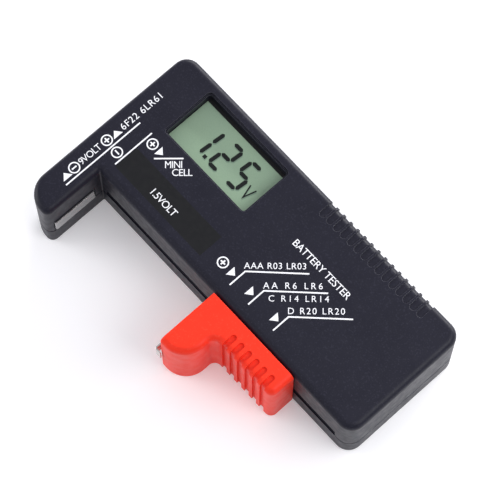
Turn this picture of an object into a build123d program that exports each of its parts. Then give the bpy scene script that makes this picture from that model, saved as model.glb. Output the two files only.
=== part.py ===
from build123d import *
from math import pi, radians, tan
import os

# Handheld battery tester.
# X runs along the case, with the contact arm at its -X end.
# Y runs across the case: +Y is the ribbed long edge, -Y is the side with the arm and the slider.
# Z is up out of the face. The origin is under the middle of the bounding box, on the surface it lies on.
# Millimetres. The slider stands where it holds an AAA cell.

# Case
case_length = 110.0
case_height = 24.5
overall_width = 61.6
body_depth = 41.0
arm_reach = 60.3
arm_width = 9.9
parting_z = 8.1
wall = 1.8
face_thickness = 2.0
edge_fillet = 2.0
base_fillet = 0.6
corner_radius = 4.4
arm_corner_radius = 7.4
arm_tip_radius = 2.1
bay_corner_radius = 0.4
joint_clearance = 0.12
shadow_line_depth = 0.4
shadow_line_height = 0.5

x_min = -case_length / 2
x_max = case_length / 2
y_max = overall_width / 2
body_y = y_max - body_depth
arm_y = y_max - arm_reach
arm_x = x_min + arm_width
inner_top = case_height - face_thickness

# Display
recess_x = (x_min + 13.0, x_min + 45.3)
recess_y = (y_max - 20.5, y_max - 3.2)
recess_depth = 0.9
ledge = 0.5
rim = 1.2
window_bottom = 20.9
polariser = 0.2
glass = 0.7
lcd_x = (x_min + 12.3, x_min + 46.0)
lcd_y = (y_max - 22.4, y_max - 2.6)
overhang = 2.2
board_top = 15.6
board_thickness = 1.6

# Grip ribs on the long edge
groove_count = 15
groove_pitch = 2.72
groove_first_x = x_min + 59.9
groove_width = 2.05
groove_depth = 0.38
groove_reach = 5.6

# Slot and slider
slot_x = (arm_x + 1.5, x_min + 104.4)
slot_height = 3.2
slider_front = x_min + 56.4
slider_back = x_min + 88.1
slider_inner_y = body_y - 0.3
slider_bottom = 0.8
slider_top = 24.3
head_y = y_max - 60.8
head_arc = 7.2
head_arc_x = x_min + 58.4
grip_y = y_max - 49.4
waist_radius = 2.2
rib_count = 6
rib_pitch = 2.98
slider_groove_width = 1.7
slider_groove_first_x = x_min + 69.4
slider_groove_depth = 0.7
slider_groove_reach = 4.4
neck_x = (slider_front + 1.6, slider_front + 29.6)
neck_z = (parting_z + 0.3, parting_z + 2.9)
foot_y = (body_y + wall + 0.2, body_y + wall + 2.5)
foot_x = (neck_x[0] + 0.5, neck_x[1] - 0.5)
foot_z = (6.0, 13.4)
slider_screw_x = (neck_x[0] + 6.0, neck_x[1] - 6.0)

# Battery contacts
strip = 0.4
contact_z = (9.2, 14.2)
arm_contact_face = arm_x + 0.55
slider_contact_face = slider_front - 1.5
ninevolt_centres = {"positive": y_max - 30.5, "negative": y_max - 48.6}
ninevolt_width = 8.0
ninevolt_z = (9.4, 15.4)

# Fasteners
boss_radius = 2.6
tower_radius = 3.15
screw_radius = 1.0
case_screw_places = [
    (x_min + 5.4, y_max - 5.4),
    (x_max - 5.6, y_max - 5.6),
    (x_max - 5.2, body_y + 12.2),
    (x_min + 5.2, arm_y + 10.6),
]
board_screw_places = [(-38.5, 2.0), (-4.5, 24.5), (16.5, 24.5), (16.5, 0.5)]

# Spring
spring_y = foot_y[1] + 2.9
spring_z = 9.7
coil_radius = 1.35
spring_wire = 0.17
coil_turns = 44
anchor_x = x_min + 8.0
spring_start = anchor_x + 2.0
spring_end = foot_x[1] - 2.6

os.makedirs("parts", exist_ok=True)


def make_case_outline():
    """The L-shaped plan of the case: the body with the contact arm at its -X end."""
    with BuildSketch() as plan:
        with BuildLine():
            Polyline(
                (x_min, y_max),
                (x_max, y_max),
                (x_max, body_y),
                (arm_x, body_y),
                (arm_x, arm_y),
                (x_min, arm_y),
                close=True,
            )
        make_face()
        body_corners = [v for v in plan.vertices() if v.X > x_max - 1 or v.Y > y_max - 1]
        fillet(body_corners, corner_radius)
        fillet(plan.vertices().sort_by_distance((x_min, arm_y))[0], arm_corner_radius)
        fillet(plan.vertices().sort_by_distance((arm_x, arm_y))[0], arm_tip_radius)
        fillet(plan.vertices().sort_by_distance((arm_x, body_y))[0], bay_corner_radius)
    return plan.sketch


outline = make_case_outline()
cavity_outline = offset(outline, -wall)
rebate_outline = offset(outline, -wall / 2)
lip_outer = offset(outline, -(wall / 2 + joint_clearance))
lip_inner = offset(outline, -(wall + 0.6))
shadow_outline = offset(outline, -shadow_line_depth)


def span(low, high):
    """Centre of a span of two numbers."""
    return (low + high) / 2


# Top shell: face, walls, display window, ribs, slot and bosses
with BuildPart() as top_shell:
    with BuildSketch(Plane.XY.offset(parting_z)):
        add(outline)
    extrude(amount=case_height - parting_z)
    fillet(top_shell.faces().sort_by(Axis.Z)[-1].edges(), edge_fillet)
    with BuildSketch(Plane.XY.offset(parting_z)):
        add(cavity_outline)
    extrude(amount=inner_top - parting_z, mode=Mode.SUBTRACT)
    # rebate that takes the lip of the bottom shell
    with BuildSketch(Plane.XY.offset(parting_z)):
        add(rebate_outline)
    extrude(amount=1.4, mode=Mode.SUBTRACT)
    # rim that holds the display, then the stepped window through it
    with BuildSketch(Plane.XY.offset(window_bottom)):
        with Locations((span(*recess_x), span(*recess_y))):
            Rectangle(recess_x[1] - recess_x[0] + 2 * rim, recess_y[1] - recess_y[0] + 2 * rim)
    extrude(amount=inner_top - window_bottom)
    with BuildSketch(Plane.XY.offset(case_height - recess_depth)):
        with Locations((span(*recess_x), span(*recess_y))):
            RectangleRounded(recess_x[1] - recess_x[0], recess_y[1] - recess_y[0], 1.3)
    extrude(amount=recess_depth, mode=Mode.SUBTRACT)
    with BuildSketch(Plane.XY.offset(window_bottom)):
        with Locations((span(*recess_x), span(*recess_y))):
            RectangleRounded(recess_x[1] - recess_x[0] - 2 * ledge, recess_y[1] - recess_y[0] - 2 * ledge, 0.8)
    extrude(amount=case_height - window_bottom, mode=Mode.SUBTRACT)
    # grip grooves over the edge of the face and down the side
    for index in range(groove_count):
        groove_x = groove_first_x + index * groove_pitch
        with BuildSketch(Plane.XY.offset(case_height - groove_depth)):
            with Locations((groove_x, y_max)):
                Rectangle(groove_width, 2 * (groove_reach - groove_width / 2))
            with Locations((groove_x, y_max - groove_reach + groove_width / 2)):
                Circle(groove_width / 2)
        extrude(amount=groove_depth, mode=Mode.SUBTRACT)
        with BuildSketch(Plane.XY.offset(parting_z)):
            with Locations((groove_x, y_max)):
                Rectangle(groove_width, 2 * groove_depth)
        extrude(amount=case_height - parting_z, mode=Mode.SUBTRACT)
        with BuildSketch(Plane.YZ.offset(groove_x - groove_width / 2)):
            with BuildLine():
                corner = groove_depth + edge_fillet
                Line((y_max, case_height), (y_max - corner, case_height))
                Line((y_max - corner, case_height), (y_max - corner, case_height - groove_depth))
                RadiusArc(
                    (y_max - corner, case_height - groove_depth),
                    (y_max - groove_depth, case_height - corner),
                    edge_fillet,
                )
                Line((y_max - groove_depth, case_height - corner), (y_max, case_height - corner))
                Line((y_max, case_height - corner), (y_max, case_height))
            make_face()
        extrude(amount=groove_width, mode=Mode.SUBTRACT)
    # slot for the slider's neck, open to the parting line
    with BuildSketch(Plane.XZ.offset(-(body_y + wall + 0.3))):
        with Locations((span(*slot_x), parting_z + slot_height / 2)):
            Rectangle(slot_x[1] - slot_x[0], slot_height)
    extrude(amount=wall + 0.6, mode=Mode.SUBTRACT)
    # slots for the two ends of the arm contact
    for leg_y in (arm_y + 2.2, body_y - 3.0):
        with Locations((arm_x - wall / 2, leg_y, span(*contact_z))):
            Box(wall + 0.4, 0.9, contact_z[1] - contact_z[0] + 0.4, mode=Mode.SUBTRACT)
    # windows for the two nine-volt contacts
    for centre_y in ninevolt_centres.values():
        with Locations((x_min + wall / 2, centre_y, span(*ninevolt_z))):
            Box(wall + 0.4, ninevolt_width + 0.4, ninevolt_z[1] - ninevolt_z[0] + 0.4, mode=Mode.SUBTRACT)
    # screw bosses
    with BuildSketch(Plane.XY.offset(parting_z + 0.2)):
        with Locations(case_screw_places):
            Circle(boss_radius)
    extrude(amount=inner_top - parting_z - 0.2)
    with BuildSketch(Plane.XY.offset(parting_z + 0.2)):
        with Locations(case_screw_places):
            Circle(screw_radius)
    extrude(amount=10, mode=Mode.SUBTRACT)
    with BuildSketch(Plane.XY.offset(board_top)):
        with Locations(board_screw_places):
            Circle(2.0)
    extrude(amount=inner_top - board_top)
    with BuildSketch(Plane.XY.offset(board_top)):
        with Locations(board_screw_places):
            Circle(0.75)
    extrude(amount=5, mode=Mode.SUBTRACT)

# Bottom shell: tray with a lip, screw towers and the post that anchors the spring
with BuildPart() as bottom_shell:
    with BuildSketch():
        add(outline)
    extrude(amount=parting_z)
    fillet(bottom_shell.faces().sort_by(Axis.Z)[0].edges(), base_fillet)
    with BuildSketch(Plane.XY.offset(wall)):
        add(cavity_outline)
    extrude(amount=parting_z - wall, mode=Mode.SUBTRACT)
    # lip round the rim, left out along the slider's slot and the arm contact
    with BuildSketch(Plane.XY.offset(parting_z - 1.0)):
        add(lip_outer)
        add(lip_inner, mode=Mode.SUBTRACT)
        with Locations((arm_x - wall, body_y + wall)):
            Rectangle(x_max - arm_x, 3 * wall, align=(Align.MIN, Align.CENTER), mode=Mode.SUBTRACT)
        with Locations((arm_x, span(arm_y, body_y + 2 * wall))):
            Rectangle(3 * wall, body_y + 2 * wall - arm_y, mode=Mode.SUBTRACT)
    extrude(amount=2.0)
    # track on which the slider's foot runs
    with Locations((span(*slot_x), foot_y[1] + 0.7, wall + 1.6)):
        Box(slot_x[1] - slot_x[0] - 6, 0.9, 3.2)
    # fine shadow line round the outside, where the two shells meet
    with BuildSketch(Plane.XY.offset(parting_z - shadow_line_height)):
        add(outline)
        add(shadow_outline, mode=Mode.SUBTRACT)
    extrude(amount=shadow_line_height, mode=Mode.SUBTRACT)
    # screw towers
    with BuildSketch(Plane.XY.offset(wall)):
        with Locations(case_screw_places):
            Circle(tower_radius)
    extrude(amount=parting_z - wall - 0.1)
    with BuildSketch():
        with Locations(case_screw_places):
            Circle(screw_radius + 0.25)
    extrude(amount=parting_z, mode=Mode.SUBTRACT)
    with BuildSketch():
        with Locations(case_screw_places):
            Circle(2.3)
    extrude(amount=2.6, mode=Mode.SUBTRACT)
    # recess for the rating label
    with BuildSketch():
        with Locations((4, y_max - body_depth / 2)):
            RectangleRounded(58, 24, 1.5)
    extrude(amount=0.25, mode=Mode.SUBTRACT)
    # post for the spring's fixed end
    with BuildSketch(Plane.XY.offset(wall)):
        with Locations((anchor_x, spring_y)):
            Circle(1.9)
    extrude(amount=6.0 - wall)
    with BuildSketch(Plane.XY.offset(3.0)):
        with Locations((anchor_x, spring_y)):
            Circle(0.7)
    extrude(amount=4.0, mode=Mode.SUBTRACT)

# Self-tapping screws that hold the two shells together
with BuildPart() as case_screws:
    for place_x, place_y in case_screw_places:
        with BuildSketch(Plane.XY.offset(2.6)):
            with Locations((place_x, place_y)):
                Circle(screw_radius - 0.05)
        extrude(amount=11.0)
        with BuildSketch(Plane.XY.offset(1.1)):
            with Locations((place_x, place_y)):
                Circle(2.0)
        extrude(amount=1.5)
        for turn in (0, 90):
            with Locations(Location((place_x, place_y, 1.4), (0, 0, turn))):
                Box(2.2, 0.5, 0.7, mode=Mode.SUBTRACT)

# Rating label on the underside
with BuildPart() as rear_label:
    with BuildSketch(Plane.XY.offset(0.08)):
        with Locations((4, y_max - body_depth / 2)):
            RectangleRounded(57.2, 23.2, 1.2)
    extrude(amount=0.17)

# Display stack, from the window down to the board
layer_top = window_bottom
with BuildPart() as lcd_front_polariser:
    with BuildSketch(Plane.XY.offset(layer_top - polariser)):
        with Locations((span(*lcd_x), span(lcd_y[0] + overhang, lcd_y[1]))):
            Rectangle(lcd_x[1] - lcd_x[0] - 0.6, lcd_y[1] - lcd_y[0] - overhang - 0.6)
    extrude(amount=polariser)

layer_top -= polariser
with BuildPart() as lcd_front_glass:
    with BuildSketch(Plane.XY.offset(layer_top - glass)):
        with Locations((span(*lcd_x), span(*lcd_y))):
            Rectangle(lcd_x[1] - lcd_x[0], lcd_y[1] - lcd_y[0])
    extrude(amount=glass)
    chamfer(lcd_front_glass.edges().filter_by(Axis.Z), 0.3)

layer_top -= glass
overhang_z = layer_top
with BuildPart() as lcd_rear_glass:
    with BuildSketch(Plane.XY.offset(layer_top - glass)):
        with Locations((span(*lcd_x), span(lcd_y[0] + overhang, lcd_y[1]))):
            Rectangle(lcd_x[1] - lcd_x[0], lcd_y[1] - lcd_y[0] - overhang)
    extrude(amount=glass)
    chamfer(lcd_rear_glass.edges().filter_by(Axis.Z), 0.3)

layer_top -= glass
with BuildPart() as lcd_reflector:
    with BuildSketch(Plane.XY.offset(layer_top - polariser)):
        with Locations((span(*lcd_x), span(lcd_y[0] + overhang, lcd_y[1]))):
            Rectangle(lcd_x[1] - lcd_x[0] - 0.6, lcd_y[1] - lcd_y[0] - overhang - 0.6)
    extrude(amount=polariser)

layer_top -= polariser
with BuildPart() as lcd_spacer_frame:
    with BuildSketch(Plane.XY.offset(board_top)):
        with Locations((span(*lcd_x), span(lcd_y[0] + overhang + 0.3, lcd_y[1]))):
            Rectangle(lcd_x[1] - lcd_x[0], lcd_y[1] - lcd_y[0] - overhang - 0.3)
            Rectangle(lcd_x[1] - lcd_x[0] - 3.2, lcd_y[1] - lcd_y[0] - overhang - 3.5, mode=Mode.SUBTRACT)
    extrude(amount=layer_top - board_top)
    with Locations((span(*lcd_x), span(lcd_y[0] + overhang + 0.3, lcd_y[1]), board_top + 0.6)):
        Box(1.4, lcd_y[1] - lcd_y[0] - overhang - 2.0, 1.2)

with BuildPart() as zebra_connector:
    with Locations((span(*lcd_x), lcd_y[0] + overhang / 2 - 0.05, span(board_top, overhang_z))):
        Box(lcd_x[1] - lcd_x[0] - 3, 1.7, overhang_z - board_top)

# Circuit board and what is soldered on it
with BuildPart() as pcb:
    with BuildSketch(Plane.XY.offset(board_top - board_thickness)):
        with BuildLine():
            Polyline(
                (-43.0, y_max - 3.0),
                (20.0, y_max - 3.0),
                (20.0, -3.0),
                (-30.0, -3.0),
                (-34.0, -1.0),
                (-43.0, -1.0),
                close=True,
            )
        make_face()
        with Locations(board_screw_places):
            Circle(0.95, mode=Mode.SUBTRACT)
    extrude(amount=board_thickness)

with BuildPart() as pcb_screws:
    for place_x, place_y in board_screw_places:
        with BuildSketch(Plane.XY.offset(board_top - board_thickness)):
            with Locations((place_x, place_y)):
                Circle(0.7)
        extrude(amount=5.5)
        with BuildSketch(Plane.XY.offset(board_top - board_thickness - 1.1)):
            with Locations((place_x, place_y)):
                Circle(1.6)
        extrude(amount=1.1)
        for turn in (0, 90):
            with Locations(Location((place_x, place_y, board_top - board_thickness - 0.9), (0, 0, turn))):
                Box(1.7, 0.4, 0.5, mode=Mode.SUBTRACT)

with BuildPart() as chip_blob:
    with BuildSketch(Plane.XY.offset(board_top - board_thickness - 1.6)):
        with Locations((-24.0, 14.0)):
            Circle(6.4)
    extrude(amount=1.6)
    fillet(chip_blob.edges().group_by(Axis.Z)[0], 1.5)

with BuildPart() as capacitors:
    for place_x, place_y in ((1.5, 4.0), (8.5, 4.0)):
        with BuildSketch(Plane.XY.offset(board_top)):
            with Locations((place_x, place_y)):
                Circle(2.2)
        extrude(amount=5.2)
    fillet(capacitors.edges().group_by(Axis.Z)[-1], 0.4)

with BuildPart() as resistors:
    for index in range(5):
        with Locations((-1.0 + 3.4 * index, 10.5, board_top + 0.9)):
            Cylinder(0.85, 4.6, rotation=(90, 0, 0))
        for side in (-1, 1):
            with Locations((-1.0 + 3.4 * index, 10.5 + side * 2.9, board_top + 0.45)):
                Box(0.5, 1.3, 0.9)

with BuildPart() as load_resistor:
    with Locations((5.5, 17.5, board_top + 1.6)):
        Cylinder(1.6, 9.0, rotation=(0, 90, 0))
    for side in (-1, 1):
        with Locations((5.5 + side * 5.4, 17.5, board_top + 0.8)):
            Box(2.0, 0.7, 1.6)

with BuildPart() as trimmer:
    with Locations((16.0, 9.5, board_top + 1.6)):
        Box(5.0, 5.6, 3.2)
    with Locations((16.0, 9.5, board_top + 3.5)):
        Cylinder(1.6, 0.6)
    with Locations((16.0, 9.5, board_top + 3.7)):
        Box(2.6, 0.5, 0.4, mode=Mode.SUBTRACT)

with BuildPart() as transistor:
    with BuildSketch(Plane.XY.offset(board_top + 0.8)):
        with Locations((-5.5, 3.0)):
            Circle(2.2)
        with Locations((-5.5, 5.5)):
            Rectangle(5, 3, mode=Mode.SUBTRACT)
    extrude(amount=4.4)
    for index in range(3):
        with Locations((-6.6 + 1.1 * index, 2.9, board_top + 0.5)):
            Box(0.45, 0.45, 1.0)

# Contact strip in the bay, on the arm: both ends bend back through the arm's wall
leg_low_y = arm_y + 2.2
leg_high_y = body_y - 3.0
with BuildPart() as arm_contact:
    with BuildSketch(Plane.XY.offset(contact_z[0])):
        with BuildLine():
            FilletPolyline(
                (arm_x - wall - 0.9, leg_low_y + 3.5),
                (arm_x - wall - 0.9, leg_low_y),
                (arm_contact_face - strip / 2, leg_low_y),
                (arm_contact_face - strip / 2, leg_high_y),
                (arm_x - wall - 0.9, leg_high_y),
                (arm_x - wall - 0.9, leg_high_y - 2.4),
                radius=0.45,
            )
        trace(line_width=strip)
    extrude(amount=contact_z[1] - contact_z[0])

# Nine-volt contacts: hat-shaped plates behind the end wall, with their pads in the windows
ninevolt_contacts = {}
for polarity, centre_y in ninevolt_centres.items():
    with BuildPart() as ninevolt_contact:
        with BuildSketch(Plane.XY.offset(ninevolt_z[0])):
            half = ninevolt_width / 2 - strip / 2
            flange_x = x_min + wall + 0.1 + strip / 2
            with BuildLine():
                FilletPolyline(
                    (flange_x, centre_y - half - 1.3),
                    (flange_x, centre_y - half),
                    (x_min + 0.45 + strip / 2, centre_y - half),
                    (x_min + 0.45 + strip / 2, centre_y + half),
                    (flange_x, centre_y + half),
                    (flange_x, centre_y + half + 1.3),
                    radius=0.4,
                )
            trace(line_width=strip)
        extrude(amount=ninevolt_z[1] - ninevolt_z[0])
    ninevolt_contacts[polarity] = ninevolt_contact

# Pin that anchors the spring and takes its lead
with BuildPart() as spring_anchor:
    with BuildSketch(Plane.XY.offset(3.2)):
        with Locations((anchor_x, spring_y)):
            Circle(0.65)
    extrude(amount=8.4)
    with BuildSketch(Plane.XY.offset(6.0)):
        with Locations((anchor_x, spring_y)):
            Circle(1.3)
    extrude(amount=0.6)
    with BuildSketch(Plane.XY.offset(11.6)):
        with Locations((anchor_x, spring_y)):
            Circle(1.5)
    extrude(amount=0.6)

# Red sliding contact carrier
groove_top_y = grip_y + slider_groove_reach
with BuildPart() as slider_body:
    with BuildSketch(Plane.XY.offset(slider_bottom)) as slider_plan:
        with BuildLine():
            Line((slider_front, slider_inner_y), (slider_front, head_y))
            Line((slider_front, head_y), (head_arc_x, head_y))
            RadiusArc((head_arc_x, head_y), (head_arc_x + head_arc, head_y + head_arc), -head_arc)
            Line(
                (head_arc_x + head_arc, head_y + head_arc),
                (head_arc_x + head_arc, grip_y - waist_radius),
            )
            RadiusArc(
                (head_arc_x + head_arc, grip_y - waist_radius),
                (head_arc_x + head_arc + waist_radius, grip_y),
                waist_radius,
            )
            Line((head_arc_x + head_arc + waist_radius, grip_y), (slider_back, grip_y))
            Line((slider_back, grip_y), (slider_back, slider_inner_y))
            Line((slider_back, slider_inner_y), (slider_front, slider_inner_y))
        make_face()
        fillet(slider_plan.vertices().sort_by_distance((slider_back, grip_y))[0], 2.1)
    extrude(amount=slider_top - slider_bottom)
    top_edges = slider_body.faces().sort_by(Axis.Z)[-1].edges()
    outer_edges = [e for e in top_edges if e.center().Y < slider_inner_y - 0.1 and e.center().X > slider_front + 0.1]
    fillet(outer_edges, 1.9)
    front_edges = slider_body.faces().filter_by(GeomType.PLANE).sort_by(Axis.X)[0].edges()
    fillet([e for e in front_edges if e.center().Y < slider_inner_y - 0.1], 0.6)
    # hollow from below
    with BuildSketch(Plane.XY.offset(slider_bottom)):
        with Locations((slider_front + 3.9, head_y + 9.2)):
            RectangleRounded(4.6, 11.5, 1.5)
    extrude(amount=20.5, mode=Mode.SUBTRACT)
    with BuildSketch(Plane.XY.offset(slider_bottom)):
        with Locations((span(slider_front + 10.4, slider_back), span(grip_y, slider_inner_y))):
            RectangleRounded(slider_back - slider_front - 13.6, slider_inner_y - grip_y - 3.6, 1.2)
    extrude(amount=5.4, mode=Mode.SUBTRACT)
    # finger grooves: down the outer side and, rounded, onto the top
    for index in range(rib_count):
        groove_x = slider_groove_first_x + index * rib_pitch
        with BuildSketch(Plane.XY.offset(slider_top - slider_groove_depth)):
            with Locations((groove_x, grip_y)):
                Rectangle(slider_groove_width, 2 * (slider_groove_reach - slider_groove_width / 2))
            with Locations((groove_x, groove_top_y - slider_groove_width / 2)):
                Circle(slider_groove_width / 2)
        extrude(amount=slider_groove_depth, mode=Mode.SUBTRACT)
        with BuildSketch(Plane.XY.offset(slider_bottom)):
            with Locations((groove_x, grip_y)):
                Rectangle(slider_groove_width, 2 * slider_groove_depth)
        extrude(amount=slider_top - slider_bottom, mode=Mode.SUBTRACT)
        with BuildSketch(Plane.YZ.offset(groove_x - slider_groove_width / 2)):
            with BuildLine():
                inset = slider_groove_depth
                Line((grip_y, slider_top), (grip_y + inset + 1.9, slider_top))
                Line((grip_y + inset + 1.9, slider_top), (grip_y + inset + 1.9, slider_top - inset))
                RadiusArc(
                    (grip_y + inset + 1.9, slider_top - inset),
                    (grip_y + inset, slider_top - inset - 1.9),
                    -1.9,
                )
                Line((grip_y + inset, slider_top - inset - 1.9), (grip_y, slider_top - inset - 1.9))
                Line((grip_y, slider_top - inset - 1.9), (grip_y, slider_top))
            make_face()
        extrude(amount=slider_groove_width, mode=Mode.SUBTRACT)
    # neck through the case wall
    with Locations((span(*neck_x), span(slider_inner_y, foot_y[0]), span(*neck_z))):
        Box(neck_x[1] - neck_x[0], foot_y[0] - slider_inner_y, neck_z[1] - neck_z[0])
    # screw holes and the slots for the contact
    for place_x in slider_screw_x:
        with Locations((place_x, foot_y[0] - 3.0, span(*neck_z))):
            Cylinder(0.85, 6.0, rotation=(90, 0, 0), mode=Mode.SUBTRACT)
    with Locations((slider_front + 1.5, slider_inner_y - 2.2, span(*contact_z))):
        Box(3.4, 0.9, contact_z[1] - contact_z[0] + 0.4, mode=Mode.SUBTRACT)

# Contact on the slider's front, hooked round the head's outer end
with BuildPart() as slider_contact:
    with BuildSketch(Plane.XY.offset(contact_z[0])):
        with BuildLine():
            FilletPolyline(
                (slider_front + 2.9, slider_inner_y - 2.2),
                (slider_contact_face + strip / 2, slider_inner_y - 2.2),
                (slider_contact_face + strip / 2, head_y - 0.8 + strip / 2),
                (slider_front + 0.7, head_y - 0.8 + strip / 2),
                radius=0.5,
            )
        trace(line_width=strip)
    extrude(amount=contact_z[1] - contact_z[0])

# Foot inside the case, which keeps the slider on its slot
with BuildPart() as slider_foot:
    with Locations((span(*foot_x), span(*foot_y), span(*foot_z))):
        Box(foot_x[1] - foot_x[0], foot_y[1] - foot_y[0], foot_z[1] - foot_z[0])
    chamfer(slider_foot.edges().filter_by(Axis.Y), 0.8)
    for place_x in slider_screw_x:
        with Locations((place_x, span(*foot_y), span(*neck_z))):
            Cylinder(1.0, 3.0, rotation=(90, 0, 0), mode=Mode.SUBTRACT)
    # hook for the spring's moving end
    with Locations((foot_x[1] - 1.2, foot_y[1], spring_z - 2.4)):
        Box(1.8, spring_y - foot_y[1] + 0.8, 1.0, align=(Align.CENTER, Align.MIN, Align.CENTER))
    with Locations((foot_x[1] - 1.2, spring_y, spring_z - 0.7)):
        Cylinder(0.5, 2.8)

with BuildPart() as slider_screws:
    for place_x in slider_screw_x:
        with Locations((place_x, foot_y[1] - 3.1, span(*neck_z))):
            Cylinder(0.8, 6.2, rotation=(90, 0, 0))
        with Locations((place_x, foot_y[1] + 0.4, span(*neck_z))):
            Cylinder(1.2, 0.8, rotation=(90, 0, 0))
        with Locations((place_x, foot_y[1] + 0.65, span(*neck_z))):
            Box(1.6, 0.3, 0.4, mode=Mode.SUBTRACT)

# Extension spring that pulls the slider towards the arm
ring_radius = 1.15
moving_ring_x = foot_x[1] - 1.2
with BuildPart() as extension_spring:
    with BuildLine() as coil_path:
        Helix(
            pitch=(spring_end - spring_start) / coil_turns,
            height=spring_end - spring_start,
            radius=coil_radius,
            center=(spring_start, spring_y, spring_z),
            direction=(1, 0, 0),
        )
    with BuildSketch(Plane(coil_path.line @ 0, z_dir=coil_path.line % 0)):
        Circle(spring_wire)
    sweep(is_frenet=True)
    for ring_x in (anchor_x, moving_ring_x):
        with Locations((ring_x, spring_y, spring_z)):
            Torus(ring_radius, spring_wire)
    tail_ends = [
        ((anchor_x + ring_radius, spring_y, spring_z), coil_path.line @ 0),
        ((moving_ring_x - ring_radius, spring_y, spring_z), coil_path.line @ 1),
    ]
    for ring_point, coil_point in tail_ends:
        with BuildLine() as tail:
            Line(ring_point, coil_point)
        with BuildSketch(Plane(tail.line @ 0, z_dir=tail.line % 0)):
            Circle(spring_wire)
        sweep(path=tail.line)
        with Locations(coil_point):
            Sphere(spring_wire)

# Leads inside the case, laid straight and bent with arcs as large as their runs allow
lead_radius = 0.45
board_under = board_top - board_thickness - lead_radius
board_over = board_top + lead_radius
flange_lead_x = x_min + wall + 0.1 + strip + lead_radius
lead_routes = {
    "lead_spring": [
        (anchor_x, spring_y, 12.2 + lead_radius),
        (anchor_x, 3.0, 12.8),
        (-44.6, 7.0, 13.1),
        (-40.5, 9.2, board_under),
    ],
    "lead_arm": [
        (arm_x - wall - 0.9, leg_high_y - 1.4, contact_z[1] + lead_radius),
        (arm_x - wall - 0.9, -7.0, 15.2),
        (-45.2, -1.4, 16.0),
        (-41.4, 3.2, board_over),
    ],
    "lead_ninevolt_negative": [
        (flange_lead_x, ninevolt_centres["negative"] + 4.5, 13.0),
        (-51.2, -7.5, 13.2),
        (-50.4, 0.5, 13.8),
        (-46.4, 5.4, 16.1),
        (-41.6, 6.6, board_over),
    ],
    "lead_ninevolt_positive": [
        (flange_lead_x, ninevolt_centres["positive"] + 4.5, 11.0),
        (-51.4, 9.4, 11.3),
        (-47.6, 13.0, 12.5),
        (-41.8, 14.5, board_under),
    ],
}


def bend_radii(route):
    """The largest arc for each corner of a route: 0.45 of its shorter run over the tangent of half the turn."""
    points = [Vector(*point) for point in route]
    radii = []
    for before, here, after in zip(points, points[1:], points[2:]):
        turn = radians((here - before).get_angle(after - here))
        shorter = min((here - before).length, (after - here).length)
        radii.append(0.45 * shorter / tan(turn / 2))
    return radii


leads = {}
for lead_name, route in lead_routes.items():
    radii = bend_radii(route)
    with BuildPart() as lead:
        with BuildLine() as route_line:
            FilletPolyline(*route, radius=radii)
        with BuildSketch(Plane(route_line.line @ 0, z_dir=route_line.line % 0)):
            Circle(lead_radius)
        sweep(path=route_line.wire())
    leads[lead_name] = lead
    section_times_length = pi * lead_radius**2 * route_line.wire().length
    print(lead_name, [round(radius, 1) for radius in radii], lead.part.volume / section_times_length)

nodes = {
    "top_shell": top_shell,
    "bottom_shell": bottom_shell,
    "case_screws": case_screws,
    "rear_label": rear_label,
    "lcd_front_polariser": lcd_front_polariser,
    "lcd_front_glass": lcd_front_glass,
    "lcd_rear_glass": lcd_rear_glass,
    "lcd_reflector": lcd_reflector,
    "lcd_spacer_frame": lcd_spacer_frame,
    "zebra_connector": zebra_connector,
    "pcb": pcb,
    "pcb_screws": pcb_screws,
    "chip_blob": chip_blob,
    "capacitors": capacitors,
    "resistors": resistors,
    "load_resistor": load_resistor,
    "trimmer": trimmer,
    "transistor": transistor,
    "arm_contact": arm_contact,
    "ninevolt_contact_positive": ninevolt_contacts["positive"],
    "ninevolt_contact_negative": ninevolt_contacts["negative"],
    "spring_anchor": spring_anchor,
    "slider_body": slider_body,
    "slider_contact": slider_contact,
    "slider_foot": slider_foot,
    "slider_screws": slider_screws,
    "extension_spring": extension_spring,
    **leads,
}
for name, node in nodes.items():
    node.part.label = name
    export_step(node.part, f"parts/{name}.step")
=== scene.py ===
import math

import bmesh
import bpy
from mathutils import Matrix, Vector


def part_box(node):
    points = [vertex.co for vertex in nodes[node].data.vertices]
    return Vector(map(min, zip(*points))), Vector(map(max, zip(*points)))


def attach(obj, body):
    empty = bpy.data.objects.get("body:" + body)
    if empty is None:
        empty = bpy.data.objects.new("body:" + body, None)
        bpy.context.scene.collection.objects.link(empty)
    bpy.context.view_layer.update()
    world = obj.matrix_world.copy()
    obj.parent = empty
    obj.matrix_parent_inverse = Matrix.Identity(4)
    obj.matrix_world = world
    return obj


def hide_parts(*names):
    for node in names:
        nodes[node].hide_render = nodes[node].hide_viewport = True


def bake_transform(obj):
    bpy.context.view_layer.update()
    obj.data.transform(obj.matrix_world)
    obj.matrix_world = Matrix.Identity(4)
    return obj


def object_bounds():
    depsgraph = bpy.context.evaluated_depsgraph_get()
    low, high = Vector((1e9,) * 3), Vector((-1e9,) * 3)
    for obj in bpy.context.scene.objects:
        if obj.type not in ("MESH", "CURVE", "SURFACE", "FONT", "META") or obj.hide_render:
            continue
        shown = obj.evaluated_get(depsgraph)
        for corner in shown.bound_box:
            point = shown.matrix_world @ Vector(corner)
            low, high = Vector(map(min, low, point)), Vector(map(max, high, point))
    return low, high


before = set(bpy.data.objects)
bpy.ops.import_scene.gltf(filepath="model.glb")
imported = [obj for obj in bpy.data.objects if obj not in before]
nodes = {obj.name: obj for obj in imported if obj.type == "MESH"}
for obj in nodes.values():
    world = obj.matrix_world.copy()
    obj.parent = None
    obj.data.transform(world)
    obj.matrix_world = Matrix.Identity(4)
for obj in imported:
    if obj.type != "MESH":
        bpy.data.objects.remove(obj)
cad_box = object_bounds()

MM = 0.001

# Sockets of the colour Mix node, whose names repeat for its other kinds
MIX_UNDER = 6
MIX_OVER = 7
MIX_RESULT = 2

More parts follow.
